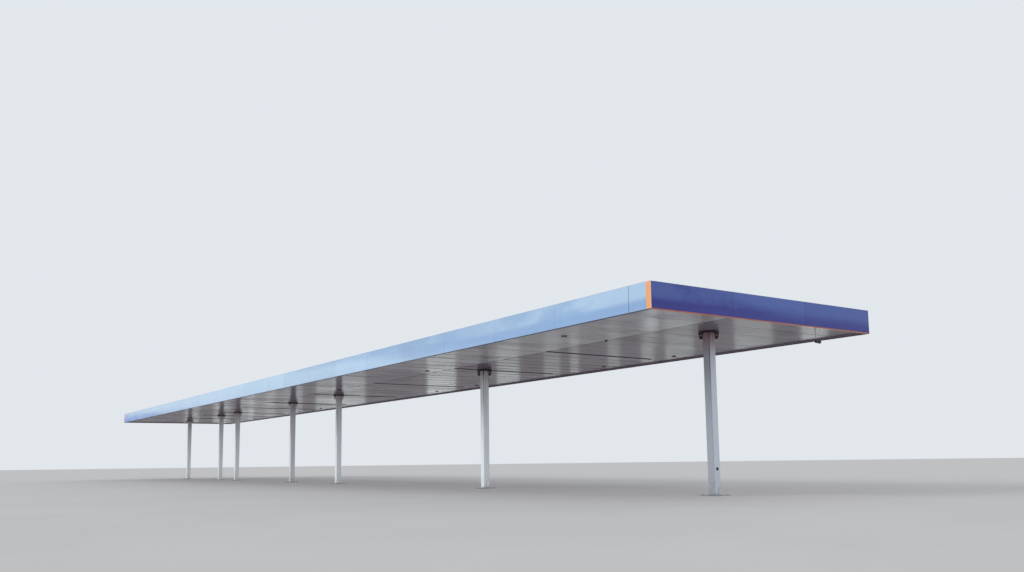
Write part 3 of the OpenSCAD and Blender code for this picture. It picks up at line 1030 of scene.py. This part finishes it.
@dataclass
class Columns:
    """The row of columns with their plates, nuts, welds and outlet.

    Attributes:
        finishes: The shared finishes.
        count: How many columns stand in the row.
        usual: The paint of most columns.
        fourth: The paint of the fourth, darker as painted shade.
        first: The paint of the first, darker as painted shade, with more painted shade under its
            head, in its grooves and on its road side.
        groove: The width of the groove along each corner.
        groove_lip: How far its painted shade reaches past it.
        anchor_pitch: The distance between the anchors of a base plate.
        anchor_washer: The profile of an anchor's washer.
        anchor_nut: The width across flats and the height of its nut.
        anchor_stud: The profile of the stud's end.
        stud_from: The height at which that end starts, inside the nut.
        weld: The leg of the weld round a column's foot.
        bolt_reach: The distance of a head bolt from the column's middle.
        bolt_shank: The profile of its shank.
        bolt_washer: The profile of its washer.
        bolt_nut: The width across flats and the height of its nut.
        bolt_head: The same of its head.
        lid: The outlet's profile, in shares of its radius and depth.
        lid_proud: How far the outlet stands off the column.
        lid_screw: The width across flats and the height of a lid screw.
        lid_screw_at: Its place, in shares of the outlet's radius and depth.
    """

    finishes: Finishes
    count: int = 7
    usual: ColumnPaint = ColumnPaint(rgb(234, 242, 245), rgb(184, 178, 178), 0.55, 0.0)
    # The fourth and first columns' paint is darker as painted shade.
    fourth: ColumnPaint = ColumnPaint(rgb(218, 221, 226), rgb(184, 178, 178), 0.55, 0.0)
    first: ColumnPaint = ColumnPaint(rgb(190, 199, 211), rgb(120, 102, 104), 0.85, 0.45)
    groove: float = 0.010
    groove_lip: float = 0.0006
    anchor_pitch: float = 0.270
    anchor_washer: Profile = ((0.0, 0.0), (0.0125, 0.0), (0.0125, 0.002), (0.0, 0.002))
    anchor_nut: Pair = (0.018, 0.010)
    anchor_stud: Profile = ((0.0, 0.0), (0.006, 0.0), (0.006, 0.012), (0.0048, 0.014),
                            (0.0, 0.014))
    stud_from: float = 0.008
    weld: float = 0.005
    bolt_reach: float = 0.125
    bolt_shank: Profile = ((0.0, -0.026), (0.005, -0.026), (0.0065, -0.024), (0.0065, 0.0),
                           (0.0, 0.0))
    bolt_washer: Profile = ((0.0, -0.003), (0.014, -0.003), (0.014, 0.0), (0.0, 0.0))
    bolt_nut: Pair = (0.022, 0.012)
    bolt_head: Pair = (0.022, 0.008)
    lid: Profile = ((0.0, 0.0), (1.0, 0.0), (1.0, 0.55), (0.86, 0.8), (0.7, 0.8), (0.7, 1.0),
                    (0.5, 1.06), (0.0, 1.08))
    lid_proud: float = 0.001
    lid_screw: Pair = (0.005, 0.002)
    lid_screw_at: float = 0.78

    def box(self, number: int) -> Box:
        """The corners of one column's box."""
        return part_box(f"column_{number}")

    def middles(self) -> list[float]:
        """The columns' places along the roof."""
        return [centre(*self.box(number))[0] for number in range(1, self.count + 1)]

    def paint(self) -> None:
        """Gives each column its paint, whose grooves follow the column's own place."""
        for number, middle in enumerate(self.middles(), 1):
            low, high = self.box(number)
            groove_from = (high.x - low.x) / 2 - self.groove - self.groove_lip
            plan = {1: self.first, 4: self.fourth}.get(number, self.usual)
            plan = replace(plan, middle=middle, groove_from=groove_from, top=high.z)
            dress(plan.make(f"column_{number}_paint"), f"column_{number}")

    def anchors(self) -> None:
        """Stud, nut and washer at each anchor hole of the base plates."""
        plate_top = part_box("base_plates")[1].z
        half = self.anchor_pitch / 2
        stock = Stock()
        for x, side, end in product(self.middles(), (-1, 1), (-1, 1)):
            spot = (x + side * half, end * half)
            stock.turned(self.anchor_washer, 16, at(*spot, plate_top))
            stock.hexagon(*self.anchor_nut, at(*spot, plate_top + self.anchor_washer[-1][1]))
            stock.turned(self.anchor_stud, 12, at(*spot, plate_top + self.stud_from))
        stock.finish("anchor_nuts", self.finishes[Surface.ZINC], Slot.GALVANISED, smooth=40)

    def welds(self) -> None:
        """A fillet weld round the foot of each column."""
        plate_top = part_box("base_plates")[1].z
        stock = Stock()
        for number, x in enumerate(self.middles(), 1):
            low, high = self.box(number)
            side = high.x - low.x + 2 * self.weld
            slope = 1 - 2 * self.weld / side
            made = bmesh.new()
            bmesh.ops.create_cube(made, size=1.0)
            bmesh.ops.scale(made, vec=(side, side, self.weld), verts=made.verts)
            top = [v for v in made.verts if v.co.z > 0]
            bmesh.ops.scale(made, vec=(slope, slope, 1), verts=top)
            stock.take(made, [at(x, 0.0, plate_top + self.weld / 2)])
        stock.finish("foot_welds", self.finishes[Surface.ZINC], Slot.GALVANISED)

    def head_bolts(self) -> None:
        """A bolt with nut and washer through each head plate, in the middle of each side."""
        low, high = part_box("head_plates")
        nut_foot = self.bolt_washer[0][1] - self.bolt_nut[1]
        stock = Stock()
        for x, quarter in product(self.middles(), range(4)):
            spin = Matrix.Rotation(quarter * math.pi / 2, 4, "Z")
            place = at(x, 0.0, 0.0) @ spin @ at(self.bolt_reach, 0.0, low.z)
            stock.turned(self.bolt_shank, 10, place)
            stock.turned(self.bolt_washer, 16, place)
            stock.hexagon(*self.bolt_nut, place @ at(0.0, 0.0, nut_foot))
            stock.hexagon(*self.bolt_head, place @ at(0.0, 0.0, high.z - low.z))
        stock.finish("head_bolts", self.finishes[Surface.HEAD], Slot.DARK, smooth=40)

    def outlet(self) -> None:
        """A round socket housing with a raised lid and two screws on the first column."""
        low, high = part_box("column_outlet")
        radius = (high.z - low.z) / 2
        depth = high.x - low.x
        face = at(low.x - self.lid_proud, 0.0, (low.z + high.z) / 2,
                  Matrix.Rotation(math.pi / 2, 4, "Y"))
        stock = Stock()
        stock.turned(self.lid, 24, face, radius, depth)
        reach = self.lid_screw_at * radius
        for angle in (math.radians(45), math.radians(225)):
            spot = at(reach * math.cos(angle), reach * math.sin(angle), self.lid_screw_at * depth)
            stock.hexagon(*self.lid_screw, face @ spot)
        stock.finish("column_outlet_lid", self.finishes[Surface.FITTING], Slot.DARK,
                     ("column_outlet",), 35)

    def build(self) -> None:
        """Dresses the columns and adds what is fixed to them."""
        self.paint()
        dress(self.finishes[Surface.ZINC], "base_plates", "neck_posts")
        dress(self.finishes[Surface.HEAD], "head_plates")
        dress(self.finishes[Surface.GUSSET], "head_gussets")
        self.anchors()
        self.welds()
        self.head_bolts()
        self.outlet()


@dataclass
class Roof:
    """The deck, the gutter and the steel frame, with their small fixings.

    Attributes:
        finishes: The shared finishes.
        fall: The fall of the roof sheets, in degrees.
        sheet: The thickness of a roof sheet.
        purlin_half: Half the flange width of a purlin.
        washer: The lower radius, upper radius and thickness of a screw's sealing washer.
        head: The circumradius, height and middle height of a screw's head.
        guards: How many leaf guards stand in the gutter.
        guard: The profile of a leaf guard.
        gutter_wall: The wall of the gutter.
    """

    finishes: Finishes
    fall: float = 0.7
    sheet: float = 0.004
    purlin_half: float = 0.0125
    washer: Triple = (0.007, 0.006, 0.0016)
    head: Triple = (0.0042, 0.004, 0.0025)
    guards: int = 7
    guard: Profile = ((0.0, 0.0), (0.040, 0.0), (0.040, 0.003), (0.034, 0.003), (0.030, 0.016),
                      (0.018, 0.026), (0.0, 0.029))
    gutter_wall: float = 0.004

    def screws(self) -> None:
        """Sealed screws through the sheets on each purlin line, one between each two seams."""
        pitch = self.finishes.seam_pitch
        fall = math.radians(self.fall)
        foot, top, thick = self.washer
        radius, height, middle = self.head
        made = bmesh.new()
        bmesh.ops.create_cone(made, cap_ends=True, segments=8, radius1=foot, radius2=top,
                              depth=thick)
        bmesh.ops.create_cone(made, cap_ends=True, segments=6, radius1=radius, radius2=radius,
                              depth=height, matrix=at(0.0, 0.0, middle))
        places = []
        for side, half in ((-1, "front"), (1, "rear")):
            low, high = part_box(f"roof_deck_{half}")
            inner = min(abs(low.y), abs(high.y))
            lines = sorted(abs(corner.y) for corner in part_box(f"purlins_{half}"))
            first, last = lines[0] + self.purlin_half, lines[1] - self.purlin_half
            count = int((high.x - low.x) / pitch) - 1
            tilt = Matrix.Rotation(side * fall, 4, "X")
            for row, index in product((first, (first + last) / 2, last), range(count)):
                z = low.z + self.sheet + (row - inner) * math.tan(fall) + thick / 2
                places.append(at((index + 0.5 - count / 2) * pitch, side * row, z, tilt))
        stock = Stock()
        stock.take(made, places)
        stock.finish("sheet_screws", self.finishes[Surface.ZINC], Slot.GALVANISED)

    def gutter_guards(self) -> None:
        """A leaf guard over each outlet of the gutter."""
        low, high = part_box("valley_gutter")
        pitch = (high.x - low.x) / self.guards
        stock = Stock()
        for index in range(self.guards):
            place = at(low.x + (index + 0.5) * pitch, 0.0, low.z + self.gutter_wall)
            stock.turned(self.guard, 16, place)
        stock.finish("gutter_guards", self.finishes[Surface.ZINC], Slot.GALVANISED, smooth=50)

    def build(self) -> None:
        """Dresses the roof and its frame."""
        dress(self.finishes[Surface.ROOF], "roof_deck_front", "roof_deck_rear", "valley_gutter")
        dress(self.finishes[Surface.ZINC], "spine_beam", "cross_arms", "purlins_front",
              "purlins_rear", "fascia_frame_front", "fascia_frame_rear", "fascia_frame_ends")
        self.screws()
        self.gutter_guards()


@dataclass
class Fascia:
    """Panels, copings, corner strips and foot trims.

    Attributes:
        finishes: The shared finishes.
        rivet_pitch: The distance between rivets of a foot trim.
        rivet_radius: The radius of a rivet's head.
        rivet_flat: Its height, as a share of that radius.
        rivet_inset: The rivets' distance from the trim's outer face.
        rivet_margin: What the two ends of a trim leave free together.
    """

    finishes: Finishes
    rivet_pitch: float = 0.42
    rivet_radius: float = 0.0035
    rivet_flat: float = 0.45
    rivet_inset: float = 0.010
    rivet_margin: float = 0.1

    def rivets(self) -> None:
        """Pop rivets along the underside of the long foot trims."""
        low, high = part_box("long_foot_trims")
        made = bmesh.new()
        bmesh.ops.create_uvsphere(made, u_segments=8, v_segments=4, radius=self.rivet_radius)
        bmesh.ops.scale(made, vec=(1, 1, self.rivet_flat), verts=made.verts)
        count = int((high.x - low.x - self.rivet_margin) / self.rivet_pitch)
        lines = (low.y + self.rivet_inset, high.y - self.rivet_inset)
        stock = Stock()
        stock.take(made, [at((index - count / 2) * self.rivet_pitch, y, low.z)
                          for y, index in product(lines, range(count + 1))])
        stock.finish("foot_rivets", self.finishes[Surface.TRIM], Slot.DARK, smooth=60)

    def build(self) -> None:
        """Dresses the fascia."""
        dress(self.finishes[Surface.SKY], "fascia_front", "fascia_rear", "coping_front",
              "coping_rear")
        dress(self.finishes[Surface.INDIGO], "fascia_end_near", "fascia_end_far", "coping_ends",
              "rear_corner_covers")
        dress(self.finishes[Surface.ORANGE], "corner_strips")
        # The corner beads carry a painted highlight of the lit corner edge.
        dress(self.finishes[Surface.HIGHLIGHT_BEAD], "corner_beads")
        # The end foot strips wear orange darkened as painted shade.
        dress(self.finishes[Surface.SHADED_ORANGE], "end_foot_strips")
        # The long foot trims are dark, partly painted shade of the fascia's inner foot.
        dress(self.finishes[Surface.TRIM], "long_foot_trims")
        self.rivets()


@dataclass
class Soffit:
    """The soffit with its joint strip, channels, lamps, sensors and the pendant.

    Each profile of a lamp, a sensor or the pendant's body is in shares of its radius and depth.

    Attributes:
        finishes: The shared finishes.
        lamp_ring: The profile of a lamp's trim ring.
        lamp_lens: The profile of its lens.
        dome: The profile of a sensor.
        body: The profile of the pendant's hooded body.
        lens: The profile of its lens.
        clamp: The profile of the clamp at the rod's foot, in metres.
        clamp_drop: How far the clamp reaches below the rod.
        flange: The profile of the flange at the rod's top, in metres.
    """

    finishes: Finishes
    lamp_ring: Profile = ((0.62, 0.0), (1.0, 0.0), (1.0, -0.35), (0.93, -0.85), (0.84, -1.0),
                          (0.78, -1.0), (0.72, -0.55), (0.62, -0.45))
    lamp_lens: Profile = ((0.0, -0.02), (0.66, -0.02), (0.66, -0.5), (0.4, -0.64), (0.0, -0.7))
    dome: Profile = ((0.0, 0.0), (1.0, 0.0), (1.0, -0.22), (0.82, -0.30), (0.78, -0.45),
                     (0.64, -0.75), (0.38, -0.95), (0.0, -1.0))
    body: Profile = ((0.0, 0.0), (0.5, 0.0), (0.78, 0.05), (0.84, 0.12), (0.84, 0.70),
                     (1.0, 0.74), (1.0, 1.0), (0.9, 1.0), (0.86, 0.84), (0.0, 0.84))
    lens: Profile = ((0.0, 0.85), (0.8, 0.85), (0.55, 0.89), (0.0, 0.905))
    clamp: Profile = ((0.0, 0.0), (0.014, 0.0), (0.014, 0.010), (0.009, 0.014), (0.0, 0.014))
    clamp_drop: float = 0.004
    flange: Profile = ((0.0, 0.0), (0.026, 0.0), (0.026, -0.004), (0.010, -0.009),
                       (0.0, -0.009))

    def rounds(self, node: str, plans: Iterable[tuple[Stock, Profile, int]]) -> None:
        """Spins profiles at each round solid of a node, down from its top.

        Args:
            node: The node's name.
            plans: The stock, the profile and the sides of each body.
        """
        for (low, high), (stock, profile, sides) in product(solids(node), plans):
            place = at(*centre(low, high)[:2], high.z)
            stock.turned(profile, sides, place, (high.x - low.x) / 2, high.z - low.z)

    def lamps(self) -> None:
        """Round lamps: a stepped trim ring round a sunk lens."""
        ring, glass = Stock(), Stock()
        self.rounds("soffit_lamps", ((ring, self.lamp_ring, 32), (glass, self.lamp_lens, 24)))
        ring.finish("lamp_rings", self.finishes[Surface.FITTING], Slot.DARK, ("soffit_lamps",), 40)
        glass.finish("lamp_lenses", self.finishes[Surface.LENS], Slot.DARK, smooth=60)

    def sensors(self) -> None:
        """Small domed housings under the long joint."""
        stock = Stock()
        self.rounds("joint_sensors", ((stock, self.dome, 24),))
        stock.finish("sensor_domes", self.finishes[Surface.FITTING], Slot.DARK,
                     ("joint_sensors",), 50)

    def pendant(self) -> None:
        """The housing under the rod: a hooded round body, its clamp, its flange and its lens."""
        low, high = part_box("pendant_head")
        rod_low, rod_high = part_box("pendant_rod")
        size = (high.z - low.z) / 2, high.y - low.y
        rod = centre(rod_low, rod_high)[:2]
        axis = at((low.x + high.x) / 2, low.y, (low.z + high.z) / 2,
                  Matrix.Rotation(-math.pi / 2, 4, "X"))
        body, lens = Stock(), Stock()
        body.turned(self.body, 24, axis, *size)
        body.turned(self.clamp, 16, at(*rod, rod_low.z - self.clamp_drop))
        body.turned(self.flange, 20, at(*rod, rod_high.z))
        lens.turned(self.lens, 24, axis, *size)
        body.finish("pendant_housing", self.finishes[Surface.FITTING], Slot.DARK,
                    ("pendant_head",), 40)
        lens.finish("pendant_lens", self.finishes[Surface.LENS], Slot.DARK, smooth=60)

    def build(self) -> None:
        """Dresses the soffit and adds its fittings."""
        dress(self.finishes[Surface.FIELD], "soffit_field")
        dress(self.finishes[Surface.BAND], "soffit_front_band")
        dress(self.finishes[Surface.JOINT], "soffit_joint_strip")
        dress(self.finishes[Surface.CHANNEL], "cross_channels")
        dress(self.finishes[Surface.EDGE], "soffit_edge_trim")
        dress(self.finishes[Surface.ROD], "pendant_rod")
        self.lamps()
        self.sensors()
        self.pendant()


@dataclass(frozen=True)
class StripLamp:
    """An upright strip lamp behind the canopy, seen only as a streak in glossy metal.

    Attributes:
        x: Its place along the roof.
        width: Its width.
        level: Its brightness, where 1 is about white.
        height: Its height.
    """

    x: float
    width: float
    level: float
    height: float = 2.6


@dataclass(frozen=True)
class Sun:
    """A broad soft light that is even over the whole roof.

    Attributes:
        name: The lamp's name.
        towards: The direction that its light travels.
        strength: Its strength.
        spread: Its angular size, in degrees.
    """

    name: str
    towards: Triple
    strength: float
    spread: float


@dataclass
class Studio:
    """The floor, the light and the camera.

    Attributes:
        image_width: Pixels across the picture.
        image_height: Pixels down it.
        focal: The focal length, in pixels.
        axis_row: The pixel row that the lens's axis meets.
        place: The camera's place.
        heading: Its turn from +Y towards -X, in degrees.
        pitch: Its tilt above the horizon, in degrees.
        roll: Its roll, in degrees.
        sight: How far the camera sees.
        floor_radius: The radius of the floor.
        floor_tones: The two colours that the floor's paint passes between.
        sky: The colour of the light from all round.
        sky_level: Its strength.
        backdrop: The colour that the camera and glossy surfaces see instead.
        suns: The broad lights.
        strip_y: The line on which the strip lamps stand.
        strip_power: Watts per square metre of a strip lamp of level 1.
        strip_tint: The colour of the strip lamps' light.
        strips: The strip lamps.
    """

    image_width: int = 1024
    image_height: int = 572
    focal: float = 893.2
    axis_row: float = 352.6
    place: Triple = (27.731, -11.166, 0.584)
    heading: float = 55.947
    pitch: float = 7.018
    roll: float = -0.701
    sight: float = 2000.0
    floor_radius: float = 400.0
    floor_tones: tuple[Colour, Colour] = (rgb(198, 197, 197), rgb(201, 200, 200))
    sky: Colour = (0.93, 0.96, 1.0)
    sky_level: float = 0.62
    backdrop: Colour = rgb(226, 231, 236)
    suns: tuple[Sun, ...] = (
        Sun("key", (0.35, 0.80, -0.38), 1.35, 25.0), Sun("side", (-0.92, 0.25, -0.22), 0.9, 40.0),
        Sun("fill", (-0.30, 0.90, -0.12), 0.5, 60.0), Sun("back", (0.25, -0.88, -0.32), 0.6, 60.0))
    strip_y: float = 9.0
    strip_power: float = 3.5
    strip_tint: Colour = (0.91, 1.0, 0.99)
    strips: tuple[StripLamp, ...] = tuple(StripLamp(*row) for row in (
        (-51.4, 1.2, 1.5), (-43.2, 0.9, 1.2), (-41.4, 0.7, 0.8), (-36.3, 1.0, 1.0),
        (-33.0, 1.8, 0.6), (-30.3, 1.3, 0.4), (-27.7, 0.6, 0.5), (-26.2, 0.6, 0.7),
        (-21.8, 1.0, 0.7), (-18.3, 1.8, 0.8), (-9.8, 0.8, 0.35, 0.5), (-7.9, 1.3, 1.1),
        (-2.4, 0.9, 0.7), (0.6, 0.6, 0.4), (2.0, 0.3, 0.5), (4.2, 0.4, 0.4), (5.9, 0.4, 0.5),
        (6.2, 0.35, 4.6, 0.35), (7.4, 0.9, 0.6), (10.4, 1.1, 0.62), (12.5, 0.7, 1.2)))

    def camera(self) -> None:
        """A camera at the photograph's place, angle and frame."""
        data = bpy.data.cameras.new("camera")
        data.sensor_width = 36.0
        data.lens = self.focal / self.image_width * data.sensor_width
        data.shift_y = (self.axis_row - self.image_height / 2) / self.image_width
        data.clip_end = self.sight
        piece = stand("camera", data)
        turn = (Matrix.Rotation(math.radians(self.heading), 4, "Z")
                @ Matrix.Rotation(math.radians(90.0 + self.pitch), 4, "X")
                @ Matrix.Rotation(math.radians(self.roll), 4, "Z"))
        piece.matrix_world = at(*self.place, turn)
        bpy.context.scene.camera = piece

    def floor(self) -> None:
        """A plain pale floor."""
        made = bmesh.new()
        bmesh.ops.create_circle(made, cap_ends=True, segments=96, radius=self.floor_radius)
        data = as_mesh(made, "floor")
        piece = stand("floor", data)
        graph = Graph("floor_paint")
        tint = graph.noise(even(0.4), 4.0, 0.6)
        graph.set(Base_Color=graph.over(*self.floor_tones, tint, 0.3, 0.7), Roughness=1.0,
                  Specular_IOR_Level=0.0)
        data.materials.append(graph.material)

    def world(self) -> None:
        """Soft light from all round, with a pale backdrop behind the canopy."""
        world = bpy.data.worlds.new("studio")
        bpy.context.scene.world = world
        world.use_nodes = True
        tree = world.node_tree
        tree.nodes.clear()
        kinds = ("OutputWorld", "Background", "Background", "LightPath", "Math", "MixShader")
        output, light, seen, rays, either, mix = (
            tree.nodes.new(f"ShaderNode{kind}") for kind in kinds)
        levels = ((light, self.sky, self.sky_level), (seen, self.backdrop, 1.0))
        for node, colour, strength in levels:
            node.inputs["Color"].default_value = (*colour, 1.0)
            node.inputs["Strength"].default_value = strength
        either.operation = "MAXIMUM"
        for source, target in ((rays.outputs["Is Camera Ray"], either.inputs[0]),
                               (rays.outputs["Is Glossy Ray"], either.inputs[1]),
                               (either.outputs[0], mix.inputs["Fac"]),
                               (light.outputs[0], mix.inputs[1]),
                               (seen.outputs[0], mix.inputs[2]),
                               (mix.outputs[0], output.inputs["Surface"])):
            tree.links.new(source, target)

    def sun(self, plan: Sun) -> None:
        """Adds one broad light.

        Args:
            plan: The light.
        """
        data = bpy.data.lights.new(plan.name, "SUN")
        data.energy = plan.strength
        data.angle = math.radians(plan.spread)
        piece = stand(plan.name, data)
        piece.rotation_euler = Vector(plan.towards).to_track_quat("-Z", "Y").to_euler()
        piece.visible_glossy = False

    def strip(self, plan: StripLamp) -> None:
        """Stands one strip lamp behind the canopy, facing the camera.

        Args:
            plan: The lamp.
        """
        data = bpy.data.lights.new("strip", "AREA")
        data.shape = "RECTANGLE"
        data.size = plan.width
        data.size_y = plan.height
        data.energy = plan.level * self.strip_power * plan.width * plan.height
        data.color = self.strip_tint
        piece = stand("strip", data)
        turn = (Matrix.Rotation(math.radians(self.heading + 180.0), 4, "Z")
                @ Matrix.Rotation(math.radians(90.0), 4, "X"))
        piece.matrix_world = at(plan.x, self.strip_y, plan.height / 2, turn)
        piece.visible_camera = False
        piece.visible_diffuse = False

    def build(self) -> None:
        """Sets up the picture."""
        self.camera()
        self.floor()
        self.world()
        for plan in self.suns:
            self.sun(plan)
        for plan in self.strips:
            self.strip(plan)
        view = bpy.context.scene.view_settings
        view.view_transform = "Standard"


def main() -> None:
    """Builds every part of the canopy, then the studio."""
    logging.basicConfig(level=logging.INFO, format="%(name)s: %(message)s")
    finishes = Finishes(foot=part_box("corner_strips")[0].z, top=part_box("coping_front")[1].z)
    finishes.build()
    for part in (Columns, Roof, Fascia, Soffit):
        part(finishes).build()
    Studio().build()
    bpy.context.view_layer.update()


if __name__ == "__main__":
    main()
